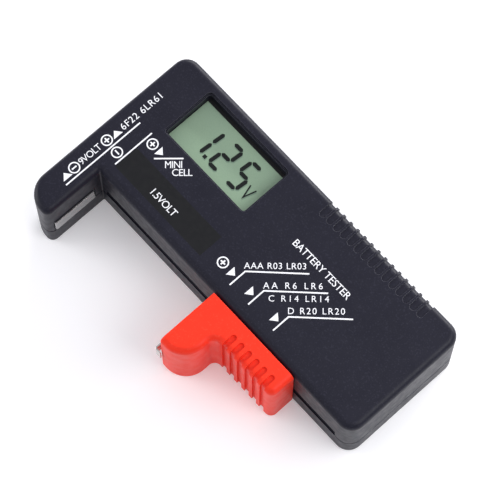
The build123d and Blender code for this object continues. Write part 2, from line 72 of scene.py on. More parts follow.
# How far a rounded normal turns away where an edge starts, and where it counts in full
EDGE_START = 0.01
EDGE_FULL = 0.25
BEVEL_SAMPLES = 4


def srgb(red, green, blue):
    """A display colour of 0 to 255 a channel, as the linear colour that shaders take."""
    return tuple(
        c / 12.92 if c <= 0.04045 else ((c + 0.055) / 1.055) ** 2.4
        for c in (red / 255, green / 255, blue / 255)
    )


# ---------------------------------------------------------------- materials


class Finish:
    """A Principled surface whose colour, roughness and relief are built up in layers."""

    def __init__(self, name, colour, roughness, metallic=0.0, specular=0.5):
        self.material = bpy.data.materials.new(name)
        self.material.use_nodes = True
        self.tree = self.material.node_tree
        self.shader = self.tree.nodes["Principled BSDF"]
        self.shader.inputs["Base Color"].default_value = (*colour, 1.0)
        self.shader.inputs["Roughness"].default_value = roughness
        self.shader.inputs["Metallic"].default_value = metallic
        self.shader.inputs["Specular IOR Level"].default_value = specular
        self.place = self.add("ShaderNodeTexCoord").outputs["Object"]
        self.base = colour
        self.colour = None
        self.normal = None

    def add(self, kind, **settings):
        """A new node, with its settings."""
        node = self.tree.nodes.new(kind)
        for key, value in settings.items():
            setattr(node, key, value)
        return node

    def link(self, source, target):
        """Joins an output to an input."""
        self.tree.links.new(source, target)

    def noise(self, size_mm, detail=3.0, stretch=(1.0, 1.0, 1.0)):
        """Smooth noise from 0 to 1, with features about size_mm across, drawn out by stretch."""
        mapping = self.add("ShaderNodeMapping")
        mapping.inputs["Scale"].default_value = tuple(1 / s for s in stretch)
        self.link(self.place, mapping.inputs["Vector"])
        texture = self.add("ShaderNodeTexNoise")
        texture.inputs["Scale"].default_value = 1 / (size_mm * MM)
        texture.inputs["Detail"].default_value = detail
        self.link(mapping.outputs["Vector"], texture.inputs["Vector"])
        return texture.outputs["Fac"]

    def cells(self, size_mm):
        """Distance to the middle of random cells about size_mm across."""
        texture = self.add("ShaderNodeTexVoronoi")
        texture.inputs["Scale"].default_value = 1 / (size_mm * MM)
        self.link(self.place, texture.inputs["Vector"])
        return texture.outputs["Distance"]

    def spread(self, value, low, high, to_low=0.0, to_high=1.0):
        """value, stretched so that low to high becomes to_low to to_high."""
        ramp = self.add("ShaderNodeMapRange", interpolation_type="SMOOTHSTEP")
        ramp.inputs["From Min"].default_value = low
        ramp.inputs["From Max"].default_value = high
        ramp.inputs["To Min"].default_value = to_low
        ramp.inputs["To Max"].default_value = to_high
        self.link(value, ramp.inputs["Value"])
        return ramp.outputs["Result"]

    def edges(self, radius_mm):
        """1 on edges and corners and 0 on flats, from how far a rounded normal turns away."""
        rounded = self.add("ShaderNodeBevel", samples=BEVEL_SAMPLES)
        rounded.inputs["Radius"].default_value = radius_mm * MM
        plain = self.add("ShaderNodeNewGeometry")
        agree = self.add("ShaderNodeVectorMath", operation="DOT_PRODUCT")
        self.link(rounded.outputs["Normal"], agree.inputs[0])
        self.link(plain.outputs["Normal"], agree.inputs[1])
        turned = self.add("ShaderNodeMath", operation="SUBTRACT")
        turned.inputs[0].default_value = 1.0
        self.link(agree.outputs["Value"], turned.inputs[1])
        return self.spread(turned.outputs["Value"], EDGE_START, EDGE_FULL)

    def tint(self, mask, colour, most=1.0):
        """Lays colour over what is there, where mask is 1, up to a share of most."""
        mix = self.add("ShaderNodeMix", data_type="RGBA")
        share = self.spread(mask, 0.0, 1.0, 0.0, most)
        self.link(share, mix.inputs["Factor"])
        if self.colour is None:
            mix.inputs[MIX_UNDER].default_value = (*self.base, 1.0)
        else:
            self.link(self.colour, mix.inputs[MIX_UNDER])
        mix.inputs[MIX_OVER].default_value = (*colour, 1.0)
        self.colour = mix.outputs[MIX_RESULT]
        return self

    def roughen(self, low, high, size_mm=3.0, stretch=(1.0, 1.0, 1.0)):
        """Roughness that wanders from low to high."""
        value = self.spread(self.noise(size_mm, 4.0, stretch), 0.3, 0.7, low, high)
        self.link(value, self.shader.inputs["Roughness"])
        return self

    def round_off(self, radius_mm):
        """Edges that catch the light as if rounded by radius_mm."""
        rounded = self.add("ShaderNodeBevel", samples=BEVEL_SAMPLES)
        rounded.inputs["Radius"].default_value = radius_mm * MM
        self.normal = rounded.outputs["Normal"]
        return self

    def relief(self, height, depth_mm):
        """Small relief from a height of 0 to 1."""
        bump = self.add("ShaderNodeBump")
        bump.inputs["Distance"].default_value = depth_mm * MM
        bump.inputs["Strength"].default_value = 1.0
        self.link(height, bump.inputs["Height"])
        if self.normal is not None:
            self.link(self.normal, bump.inputs["Normal"])
        self.normal = bump.outputs["Normal"]
        return self

    def coat(self, weight, roughness):
        """A clear coat over the surface."""
        self.shader.inputs["Coat Weight"].default_value = weight
        self.shader.inputs["Coat Roughness"].default_value = roughness
        return self

    def done(self):
        """Joins the layers to the shader, and gives the material."""
        if self.colour is not None:
            self.link(self.colour, self.shader.inputs["Base Color"])
        if self.normal is not None:
            self.link(self.normal, self.shader.inputs["Normal"])
        return self.material


def case_plastic(name, grain_mm, softness_mm):
    """Charcoal ABS from a spark-eroded mould, with a painted highlight of lighter grey along its
    edges.
    """
    colour = srgb(27, 27, 38)
    worn = srgb(47, 47, 59)
    painted_edge_highlight = srgb(104, 104, 114)
    finish = Finish(name, colour, 0.5, specular=0.18)
    finish.round_off(softness_mm)
    finish.relief(finish.noise(grain_mm, 2.0), 0.007)
    finish.relief(finish.cells(2.2 * grain_mm), 0.004)
    finish.tint(finish.noise(9.0, 4.0), worn, 0.22)
    finish.tint(finish.spread(finish.noise(0.45, 1.0), 0.52, 0.75), worn, 0.5)
    # painted highlight: lighter grey on edges and corners, where they would catch the light
    finish.tint(finish.edges(1.6 * softness_mm), painted_edge_highlight, 0.55)
    finish.roughen(0.37, 0.47, 2.0)
    return finish.done()


def slider_plastic():
    """Orange-red ABS, a little glossier than the case, with a painted highlight of brighter orange
    along its edges.
    """
    finish = Finish("slider_red_abs", srgb(246, 52, 30), 0.4, specular=0.18)
    finish.round_off(0.2)
    finish.relief(finish.noise(0.3, 2.0), 0.005)
    finish.tint(finish.noise(7.0, 4.0), srgb(246, 62, 36), 0.35)
    finish.tint(finish.spread(finish.noise(0.5, 1.0), 0.55, 0.78), srgb(255, 96, 72), 0.25)
    # painted highlight: brighter orange on edges and groove rims, where they would catch the light
    finish.tint(finish.edges(0.3), srgb(255, 66, 30), 0.45)
    finish.roughen(0.36, 0.46, 2.5)
    return finish.done()


def plated(name, colour, brushed, low, high):
    """Bright plated strip, brushed along one axis, with dull smudges and a painted highlight of
    near-white along its edges.
    """
    finish = Finish(name, colour, 0.25, metallic=1.0)
    finish.round_off(0.08)
    finish.relief(finish.noise(0.12, 3.0, brushed), 0.002)
    finish.tint(finish.spread(finish.noise(1.6, 4.0), 0.45, 0.7), srgb(176, 170, 160), 0.3)
    # painted highlight: near-white along edges, where the plating would catch the light
    finish.tint(finish.edges(0.15), srgb(250, 250, 248), 0.7)
    finish.roughen(low, high, 1.2, brushed)
    return finish.done()


def soft_white_plastic():
    """Unpigmented nylon, slightly yellow and waxy."""
    finish = Finish("natural_nylon", srgb(214, 208, 190), 0.42)
    finish.shader.inputs["Subsurface Weight"].default_value = 0.15
    finish.shader.inputs["Subsurface Scale"].default_value = 0.8 * MM
    finish.relief(finish.noise(0.4, 3.0), 0.01)
    finish.tint(finish.noise(3.0, 4.0), srgb(196, 186, 160), 0.4)
    finish.tint(finish.edges(0.2), srgb(235, 231, 218), 0.5)
    return finish.roughen(0.36, 0.5, 1.5).done()


def circuit_board():
    """Green solder mask over the weave of the laminate, with pads of solder."""
    finish = Finish("solder_mask", srgb(18, 92, 58), 0.3)
    weave = finish.add("ShaderNodeTexWave", wave_type="BANDS", bands_direction="DIAGONAL")
    weave.inputs["Scale"].default_value = 900.0
    weave.inputs["Distortion"].default_value = 2.0
    finish.link(finish.place, weave.inputs["Vector"])
    finish.relief(weave.outputs["Fac"], 0.006)
    pads = finish.spread(finish.cells(3.2), 0.16, 0.1)
    finish.tint(finish.noise(4.0, 4.0), srgb(30, 116, 74), 0.6)
    finish.tint(pads, srgb(196, 198, 196), 0.9)
    finish.tint(finish.edges(0.2), srgb(190, 176, 120), 0.7)
    return finish.coat(0.4, 0.12).roughen(0.28, 0.42, 2.0).done()


def moulded(name, colour, fleck, fleck_mm, low, high, depth_mm=0.02):
    """A dense moulded or fired body, flecked with a second colour."""
    finish = Finish(name, colour, 0.5)
    finish.round_off(0.12)
    finish.relief(finish.noise(fleck_mm, 4.0), depth_mm)
    finish.tint(finish.spread(finish.noise(fleck_mm, 3.0), 0.45, 0.7), fleck, 0.6)
    finish.tint(finish.edges(0.2), fleck, 0.5)
    return finish.roughen(low, high, 2 * fleck_mm).done()


def banded_body():
    """Tan lacquered resistor bodies with brown and red bands across their length."""
    finish = Finish("resistor_lacquer", srgb(205, 170, 120), 0.35)
    bands = finish.add("ShaderNodeTexWave", wave_type="BANDS", bands_direction="X")
    bands.inputs["Scale"].default_value = 260.0
    finish.link(finish.place, bands.inputs["Vector"])
    finish.tint(finish.spread(bands.outputs["Fac"], 0.8, 0.86), srgb(120, 52, 30), 0.95)
    finish.tint(finish.noise(1.0, 3.0), srgb(222, 190, 142), 0.4)
    finish.relief(finish.noise(0.5, 3.0), 0.01)
    return finish.coat(0.3, 0.15).roughen(0.3, 0.45, 1.0).done()


def lead_sleeve(name, colour, scuffed):
    """Soft vinyl insulation, faintly drawn along its length, with pale scuffs."""
    finish = Finish(name, colour, 0.45)
    finish.relief(finish.noise(0.3, 3.0, (1.0, 5.0, 1.0)), 0.008)
    finish.tint(finish.spread(finish.noise(0.9, 4.0), 0.5, 0.75), scuffed, 0.5)
    return finish.roughen(0.4, 0.58, 1.0).done()


def display_film():
    """The display seen through its polariser: grey-green, with a slight sheen."""
    finish = Finish("display_polariser", srgb(143, 168, 144), 0.34, specular=0.3)
    finish.tint(finish.noise(14.0, 3.0), srgb(150, 176, 146), 0.8)
    finish.tint(finish.spread(finish.noise(0.35, 2.0), 0.4, 0.7), srgb(132, 157, 134), 0.22)
    finish.relief(finish.noise(0.3, 2.0), 0.002)
    return finish.roughen(0.28, 0.42, 6.0).done()


def display_glass():
    """Thin float glass, greener at its cut edges."""
    finish = Finish("display_glass", srgb(196, 214, 200), 0.08, specular=0.5)
    finish.shader.inputs["Transmission Weight"].default_value = 0.9
    finish.tint(finish.edges(0.2), srgb(120, 168, 140), 0.6)
    finish.relief(finish.noise(2.0, 2.0), 0.001)
    return finish.roughen(0.05, 0.14, 3.0).done()


def reflector_foil():
    """Grained silver film behind the display."""
    finish = Finish("reflector_foil", srgb(186, 196, 182), 0.5, metallic=0.6)
    finish.relief(finish.noise(0.25, 4.0), 0.01)
    finish.tint(finish.noise(3.0, 3.0), srgb(170, 182, 168), 0.5)
    return finish.roughen(0.4, 0.6, 1.0).done()


def striped_rubber():
    """Conductive strip: thin black layers between clear silicone."""
    finish = Finish("zebra_silicone", srgb(198, 190, 182), 0.5)
    stripes = finish.add("ShaderNodeTexWave", wave_type="BANDS", bands_direction="X")
    stripes.inputs["Scale"].default_value = 1500.0
    finish.link(finish.place, stripes.inputs["Vector"])
    finish.tint(finish.spread(stripes.outputs["Fac"], 0.45, 0.55), srgb(24, 23, 24), 1.0)
    finish.relief(finish.noise(0.3, 3.0), 0.01)
    return finish.roughen(0.45, 0.6, 1.0).done()


def label_foil():
    """Blank satin silver label with a brushed face and thumbed edges."""
    finish = Finish("label_satin", srgb(176, 178, 182), 0.38, metallic=0.75)
    finish.relief(finish.noise(0.2, 3.0, (30.0, 1.0, 1.0)), 0.003)
    finish.tint(finish.noise(6.0, 4.0), srgb(160, 162, 168), 0.5)
    finish.tint(finish.spread(finish.noise(1.2, 5.0), 0.58, 0.8), srgb(120, 120, 124), 0.4)
    finish.tint(finish.edges(0.4), srgb(206, 208, 210), 0.6)
    return finish.roughen(0.3, 0.48, 3.0, (20.0, 1.0, 1.0)).done()


def ink(name, colour, thin, worn, roughness=0.5):
    """Pad-printed ink: slightly uneven, thinner in tiny specks."""
    finish = Finish(name, colour, roughness, specular=0.3)
    finish.tint(finish.spread(finish.noise(0.5, 3.0), 0.56, 0.8), thin, worn)
    finish.relief(finish.noise(0.25, 2.0), 0.004)
    return finish.roughen(roughness - 0.08, roughness + 0.08, 1.0).done()


def dress_frame():
    """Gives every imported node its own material."""
    along_y = (1.0, 14.0, 1.0)
    along_x = (14.0, 1.0, 1.0)
    turned = (4.0, 4.0, 1.0)
    steel = plated("zinc_steel", srgb(170, 172, 176), turned, 0.25, 0.42)
    board_steel = plated("board_screw_steel", srgb(190, 186, 172), turned, 0.22, 0.4)
    nickel = srgb(206, 204, 198)
    # painted shade: a darker grey nickel for the arm contact, standing in for the shade and dark
    # reflections it has in the battery bay
    painted_shade_nickel = srgb(150, 149, 150)
    red_scuff = srgb(214, 70, 62)
    black_scuff = srgb(58, 58, 60)
    finishes = {
        "top_shell": case_plastic("case_top_abs", 0.26, 0.18),
        "bottom_shell": case_plastic("case_base_abs", 0.3, 0.05),
        "case_screws": steel,
        "slider_screws": steel,
        "pcb_screws": board_steel,
        "rear_label": label_foil(),
        "lcd_front_polariser": display_film(),
        "lcd_front_glass": display_glass(),
        "lcd_rear_glass": display_glass(),
        "lcd_reflector": reflector_foil(),
        "lcd_spacer_frame": soft_white_plastic(),
        "slider_foot": soft_white_plastic(),
        "zebra_connector": striped_rubber(),
        "pcb": circuit_board(),
        "chip_blob": moulded("epoxy_blob", srgb(16, 16, 18), srgb(40, 40, 44), 0.5, 0.2, 0.34),
        "capacitors": moulded(
            "capacitor_sleeve", srgb(24, 52, 120), srgb(50, 84, 158), 1.2, 0.25, 0.4, 0.01
        ),
        "resistors": banded_body(),
        "load_resistor": moulded(
            "fired_ceramic", srgb(212, 206, 192), srgb(186, 178, 160), 0.4, 0.6, 0.8
        ),
        "trimmer": moulded(
            "trimmer_body", srgb(44, 84, 168), srgb(70, 112, 190), 0.6, 0.3, 0.45, 0.01
        ),
        "transistor": moulded(
            "transistor_epoxy", srgb(22, 22, 23), srgb(52, 52, 54), 0.3, 0.45, 0.6
        ),
        # the arm contact takes the darker nickel, its painted shade
        "arm_contact": plated("arm_nickel_shaded", painted_shade_nickel, along_y, 0.16, 0.32),
        "ninevolt_contact_positive": plated("nickel_positive", nickel, along_y, 0.18, 0.34),
        "ninevolt_contact_negative": plated(
            "nickel_negative", srgb(204, 203, 198), along_y, 0.18, 0.34
        ),
        "slider_contact": plated("slider_nickel", nickel, along_y, 0.16, 0.32),
        "spring_anchor": plated("anchor_steel", srgb(168, 170, 174), along_x, 0.25, 0.4),
        "slider_body": slider_plastic(),
        "lead_spring": lead_sleeve("red_vinyl", srgb(176, 22, 20), red_scuff),
        "lead_ninevolt_positive": lead_sleeve("red_vinyl_positive", srgb(180, 24, 20), red_scuff),
        "lead_arm": lead_sleeve("black_vinyl", srgb(20, 20, 21), black_scuff),
        "lead_ninevolt_negative": lead_sleeve(
            "black_vinyl_negative", srgb(22, 22, 22), black_scuff
        ),
    }
    for name, material in finishes.items():
        mesh = nodes[name].data
        for index in range(len(mesh.materials)):
            mesh.materials[index] = material


# ------------------------------------------------------------- thin solids

INK_THICKNESS = 0.012
INK_SUNK = 0.004
RING_STEPS = 48

# Letter spacing: a wider trial to measure by, the tightest allowed, and room for the last letter
PLAIN_SPACING = 1.0
TRIAL_SPACING = 1.5
TIGHTEST_SPACING = 0.9
SPACING_MARGIN = 1.02


def letter(text, spacing):
    """Built-in lettering, one unit tall and deep, as a mesh of closed letters."""
    curve = bpy.data.curves.new("lettering", "FONT")
    curve.body = text
    curve.extrude = 0.5
    curve.resolution_u = 4
    curve.space_character = spacing
    carrier = bpy.data.objects.new("lettering", curve)
    mesh = bpy.data.meshes.new_from_object(carrier)
    bpy.data.objects.remove(carrier)
    bpy.data.curves.remove(curve)
    return mesh


def extent(mesh):
    """Width and height of a mesh."""
    xs = [v.co.x for v in mesh.vertices]
    ys = [v.co.y for v in mesh.vertices]
    return max(xs) - min(xs), max(ys) - min(ys)


class Layer:
    """Flat shapes of one ink or film on a level surface, gathered in one mesh of thin solids."""

    def __init__(self, surface_mm, thickness_mm=INK_THICKNESS, sunk_mm=INK_SUNK):
        self.low = (surface_mm - sunk_mm) * MM
        self.high = (surface_mm + thickness_mm - sunk_mm) * MM
        self.bm = bmesh.new()

    def polygon(self, points):
        """A solid over a plain outline, given in order as (x, y) in millimetres."""
        low = [self.bm.verts.new((x * MM, y * MM, self.low)) for x, y in points]
        high = [self.bm.verts.new((x * MM, y * MM, self.high)) for x, y in points]
        self.bm.faces.new(high)
        self.bm.faces.new(list(reversed(low)))
        for i in range(len(points)):
            j = (i + 1) % len(points)
            self.bm.faces.new((low[i], low[j], high[j], high[i]))

    def ribbon(self, points, width):
        """A line of even width through the points, mitred at its corners."""
        spots = [Vector(p) for p in points]
        left, right = [], []
        for i, spot in enumerate(spots):
            before = (spot - spots[i - 1]).normalized() if i else None
            after = (spots[i + 1] - spot).normalized() if i + 1 < len(spots) else None
            ways = [w for w in (before, after) if w is not None]
            sides = [Vector((-w.y, w.x)) for w in ways]
            mitre = sum(sides, Vector((0.0, 0.0))).normalized()
            reach = 0.5 * width / mitre.dot(sides[0])
            left.append(spot + mitre * reach)
            right.append(spot - mitre * reach)
        self.polygon([tuple(p) for p in right + left[::-1]])

    def ring(self, centre, outer, inner):
        """A flat ring, as a solid with both rims."""
        steps = RING_STEPS
        loops = []
        for radius in (outer, inner):
            for height in (self.low, self.high):
                loops.append(
                    [
                        self.bm.verts.new(
                            (
                                (centre[0] + radius * math.cos(2 * math.pi * i / steps)) * MM,
                                (centre[1] + radius * math.sin(2 * math.pi * i / steps)) * MM,
                                height,
                            )
                        )
                        for i in range(steps)
                    ]
                )
        outer_low, outer_high, inner_low, inner_high = loops
        for a, b in (
            (outer_low, outer_high),
            (outer_high, inner_high),
            (inner_high, inner_low),
            (inner_low, outer_low),
        ):
            for i in range(steps):
                j = (i + 1) % steps
                self.bm.faces.new((a[i], a[j], b[j], b[i]))

    def words(self, text, start, end, cap_height):
        """Lettering from start to end of its baseline, spaced so that letters keep their shape."""
        way = Vector(end) - Vector(start)
        mesh = letter(text, PLAIN_SPACING)
        tight, tall = extent(mesh)
        bpy.data.meshes.remove(mesh)
        mesh = letter(text, TRIAL_SPACING)
        loose = extent(mesh)[0]
        bpy.data.meshes.remove(mesh)
        wanted = way.length * tall / cap_height * SPACING_MARGIN
        share = (wanted - tight) / (loose - tight)
        spacing = PLAIN_SPACING + (TRIAL_SPACING - PLAIN_SPACING) * share
        mesh = letter(text, max(TIGHTEST_SPACING, spacing))
        xs = [v.co.x for v in mesh.vertices]
        ys = [v.co.y for v in mesh.vertices]
        fit = (
            Matrix.Translation((start[0] * MM, start[1] * MM, 0.5 * (self.low + self.high)))
            @ Matrix.Rotation(math.atan2(way.y, way.x), 4, "Z")
            @ Matrix.Diagonal(
                (
                    way.length * MM / (max(xs) - min(xs)),
                    cap_height * MM / (max(ys) - min(ys)),
                    self.high - self.low,
                    1.0,
                )
            )
            @ Matrix.Translation((-min(xs), -min(ys), 0.0))
        )
        mesh.transform(fit)
        self.bm.from_mesh(mesh)
        bpy.data.meshes.remove(mesh)

    def piece(self, name, material):
        """Closes the layer and rides it on the case."""
        bmesh.ops.remove_doubles(self.bm, verts=self.bm.verts, dist=0.0005 * MM)
        bmesh.ops.recalc_face_normals(self.bm, faces=self.bm.faces)
        mesh = bpy.data.meshes.new(name)
        self.bm.to_mesh(mesh)
        self.bm.free()
        mesh.materials.append(material)
        made = bpy.data.objects.new(name, mesh)
        bpy.context.scene.collection.objects.link(made)
        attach(made, "case")


# ------------------------------------------------------ printing on the face

LINE = 0.42
SIGN_OUTER = 1.68
SIGN_INNER = 1.3
SIGN_ARM = 0.82
ARROW = 1.95
SMALL_ARROW = 1.85
ARROW_SPREAD = 0.82
CAP = 2.0
CELL_CAP = 1.8
SMALL_CELL_CAP = 1.75
TITLE_CAP = 2.1


def top_of(node):
    """Height of a node's top, in millimetres."""
    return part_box(node)[1].z / MM


def sign(layer, centre, along, plus):
    """A circled minus along one axis, or a circled plus."""
    layer.ring(centre, SIGN_OUTER, SIGN_INNER)
    spot = Vector(centre)
    way = Vector(along).normalized()
    across = Vector((-way.y, way.x))
    if not plus:
        layer.ribbon([spot - way * SIGN_ARM, spot + way * SIGN_ARM], LINE)
        return
    half = 0.5 * LINE
    corners = []
    for side, turn in ((way, across), (across, -way), (-way, -across), (-across, way)):
        corners += [
            spot + side * SIGN_ARM - turn * half,
            spot + side * SIGN_ARM + turn * half,
            spot + side * half + turn * half,
        ]
    layer.polygon([tuple(p) for p in corners])


def arrow(layer, tip, way, size):
    """A solid triangle that points along way, with its tip at tip."""
    point = Vector(tip)
    way = Vector(way).normalized()
    across = Vector((-way.y, way.x))
    back = point - way * size
    spread = across * size * ARROW_SPREAD
    layer.polygon([tuple(point), tuple(back + spread), tuple(back - spread)])


def print_face():
    """White legends: the nine-volt row, the mini cell, the cell sizes and the title."""
    face = top_of("top_shell")
    white = ink("printed_white", srgb(246, 247, 250), srgb(205, 205, 212), 0.35)

    nine_volt = Layer(face)
    row_x = -50.3
    nine_volt.ribbon([(-48.0, -19.8), (-48.0, 7.05)], LINE)
    sign(nine_volt, (row_x, -14.85), (0, 1), plus=False)
    sign(nine_volt, (row_x, -3.07), (0, 1), plus=True)
    arrow(nine_volt, (-51.1, -18.0), (-1, 0), ARROW)
    arrow(nine_volt, (-51.1, 0.18), (-1, 0), ARROW)
    nine_volt.words("9VOLT", (-49.4, -12.8), (-49.4, -5.4), CAP)
    nine_volt.words("6F22 6LR61", (-49.3, 2.3), (-49.3, 16.6), CAP)
    nine_volt.piece("print_nine_volt", white)

    mini = Layer(face)
    sign(mini, (-45.8, -3.33), (1, 0), plus=False)
    mini.ribbon([(-43.56, -6.0), (-43.56, 7.4)], LINE)
    sign(mini, (-41.07, 5.42), (1, 0), plus=True)
    arrow(mini, (-36.8, 5.38), (1, 0), SMALL_ARROW)
    mini.ribbon([(-37.7, 2.9), (-32.3, 8.85)], LINE)
    mini.words("MINI", (-33.6, 3.3), (-30.5, 6.75), CAP)
    mini.words("CELL", (-30.65, 3.2), (-26.9, 7.3), CAP)
    mini.piece("print_mini_cell", white)

    sizes = Layer(face)
    sign(sizes, (-3.11, -3.06), (1, 0), plus=True)
    # text, the line beside it, where its baseline starts and ends, and the arrow's tip
    rows = [
        ("AAA R03 LR03", 2.78, (2.0, -0.1), (13.4, 12.1), 1.85),
        ("AA R6 LR6", 10.15, (9.56, -0.06), (20.5, 11.6), 9.2),
        ("D R20 LR20", 19.95, (19.3, 0.06), (29.65, 11.2), 19.05),
    ]
    for text, line_x, start, end, tip_x in rows:
        arrow(sizes, (tip_x, -3.2), (1, 0), ARROW)
        sizes.ribbon([(line_x, -6.0), (line_x, -0.33), (line_x + 12.1, 11.9)], LINE)
        sizes.words(text, start, end, CELL_CAP)
    sizes.words("C R14 LR14", (13.2, -1.4), (24.25, 10.4), SMALL_CELL_CAP)
    sizes.piece("print_cell_sizes", white)

    title = Layer(face)
    title.words("BATTERY TESTER", (5.5, 14.2), (27.0, 14.2), TITLE_CAP)
    title.piece("print_title", white)

    panel = Layer(face, 0.006, 0.003)
    panel.polygon([(-43.1, -6.4), (-8.7, -6.4), (-8.7, 1.5), (-43.1, 1.5)])
    satin = ink("panel_satin_black", srgb(12, 13, 16), srgb(18, 19, 22), 0.5, 0.42)
    panel.piece("voltage_panel", satin)
    voltage = Layer(face)
    voltage.words("1.5VOLT", (-31.0, -4.55), (-21.7, -4.55), TITLE_CAP)
    voltage.piece("print_voltage", white)


# ------------------------------------------------------------- the display

DIGIT_PITCH = 7.27
DIGIT_WIDTH = 3.55
DIGIT_LOW = 14.0
DIGIT_HIGH = 22.95
DIGIT_LEAN = 0.09
SEGMENT_WIDTH = 1.2
SEGMENT_GAP = 0.22
SEGMENT_NOSE = 0.42
SEGMENT_BLUNT = 0.25
FIRST_DIGIT = -35.25
LIT_SEGMENTS = {"1": "bc", "2": "abged", "5": "afgcd"}
POINT_AFTER_DIGIT = 1.85
POINT_RISE = 0.35
POINT_HALF = 0.55
VOLT_SIGN = [(-15.2, 18.1), (-14.1, 14.2), (-12.9, 18.1)]
SHADOW_SHIFT = (0.28, -0.3)


def lean(x, y):
    """A point of an upright digit, where the slanted digit has it."""
    return (x + DIGIT_LEAN * (y - DIGIT_LOW), y)


def segment(layer, start, end, width):
    """One bar of a digit, with its ends cut to blunt points."""
    a, b = Vector(start), Vector(end)
    way = (b - a).normalized()
    side = Vector((-way.y, way.x)) * width / 2
    a, b = a + way * SEGMENT_GAP, b - way * SEGMENT_GAP
    nose = way * width * SEGMENT_NOSE
    end_side = side * SEGMENT_BLUNT
    outline = [
        a + end_side,
        a - end_side,
        a + nose - side,
        b - nose - side,
        b - end_side,
        b + end_side,
        b - nose + side,
        a + nose + side,
    ]
    layer.polygon([tuple(p) for p in outline])


def draw_reading(layer, shift=(0.0, 0.0)):
    """The reading 1.25 V in seven-bar digits."""
    moved = Vector(shift)
    low, high = DIGIT_LOW, DIGIT_HIGH
    middle = (low + high) / 2
    bars = {
        "a": ((0, high), (1, high)),
        "b": ((1, middle), (1, high)),
        "c": ((1, low), (1, middle)),
        "d": ((0, low), (1, low)),
        "e": ((0, low), (0, middle)),
        "f": ((0, middle), (0, high)),
        "g": ((0, middle), (1, middle)),
    }
    for place, digit in enumerate("125"):
        left = FIRST_DIGIT + DIGIT_PITCH * place
        for bar in LIT_SEGMENTS[digit]:
            ends = [Vector(lean(left + DIGIT_WIDTH * side, y)) + moved for side, y in bars[bar]]
            segment(layer, *ends, SEGMENT_WIDTH)
    point_x = FIRST_DIGIT + DIGIT_WIDTH + POINT_AFTER_DIGIT
    point = Vector(lean(point_x, low + POINT_RISE)) + moved
    square = ((-1, -1), (1, -1), (1, 1), (-1, 1))
    layer.polygon([tuple(point + Vector(corner) * POINT_HALF) for corner in square])
    layer.ribbon([tuple(Vector(spot) + moved) for spot in VOLT_SIGN], LINE)


def box_corners(left, bottom, right, top):
    """Corners of an upright rectangle, in order."""
    return [(left, bottom), (right, bottom), (right, top), (left, top)]


def draw_display():
    """Dark bars on the display, their soft shadow on the reflector, and a dark border round it,
    partly the display's own edge and partly painted shade from the walls of its window.
    """
    film = top_of("lcd_front_polariser")
    low, high = (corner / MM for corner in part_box("lcd_front_polariser"))
    shadow = Layer(film, 0.008, 0.004)
    draw_reading(shadow, SHADOW_SHIFT)
    grey = ink("display_shadow", srgb(122, 146, 126), srgb(134, 158, 138), 0.4, 0.4)
    shadow.piece("display_shadow", grey)
    bars = Layer(film, 0.014, 0.002)
    draw_reading(bars)
    black = ink("display_black", srgb(13, 20, 17), srgb(24, 32, 28), 0.4, 0.4)
    bars.piece("display_reading", black)
    # partly painted shade: a dark band round the display, widest on the +Y side, where the
    # window's wall shades it
    border = Layer(film, 0.1, 0.004)
    inner = box_corners(low.x + 1.1, low.y + 0.3, high.x - 1.2, high.y - 2.0)
    outer = box_corners(low.x + 0.2, low.y + 0.1, high.x - 0.2, high.y - 0.1)
    for i in range(4):
        j = (i + 1) % 4
        border.polygon([outer[i], outer[j], inner[j], inner[i]])
    mask = ink("display_border_and_shade", srgb(18, 18, 20), srgb(28, 28, 32), 0.4, 0.55)
    border.piece("display_border_and_shade", mask)


# ---------------------------------------------------------------- the spring

SPRING_TURNS = 44
WIRE_SIDES = 8
STEPS_PER_TURN = 16
EYE_STEPS = 26
WIRE_RADIUS = 0.17 * MM
EYE_RADIUS = 1.15 * MM
COIL_INSET = 0.4 * MM
NEARLY_PARALLEL = 0.2


def tube(bm, path, radius, sides):
    """A round wire along a list of points, capped at both ends."""
    rings = []
    count = len(path)
    for i, spot in enumerate(path):
        ahead = path[i + 1] if i + 1 < count else spot
        behind = path[i - 1] if i else spot
        way = (ahead - behind).normalized()
        side = way.cross(Vector((1.0, 0.0, 0.0)))
        if side.length < NEARLY_PARALLEL:
            side = way.cross(Vector((0.0, 1.0, 0.0)))
        side.normalize()
        up = way.cross(side)
        rings.append(
            [
                bm.verts.new(
                    spot
                    + radius * math.cos(2 * math.pi * k / sides) * side
                    + radius * math.sin(2 * math.pi * k / sides) * up
                )
                for k in range(sides)
            ]
        )
    for a, b in zip(rings, rings[1:]):
        for k in range(sides):
            m = (k + 1) % sides
            bm.faces.new((a[k], a[m], b[m], b[k]))
    bm.faces.new(list(reversed(rings[0])))
    bm.faces.new(rings[-1])


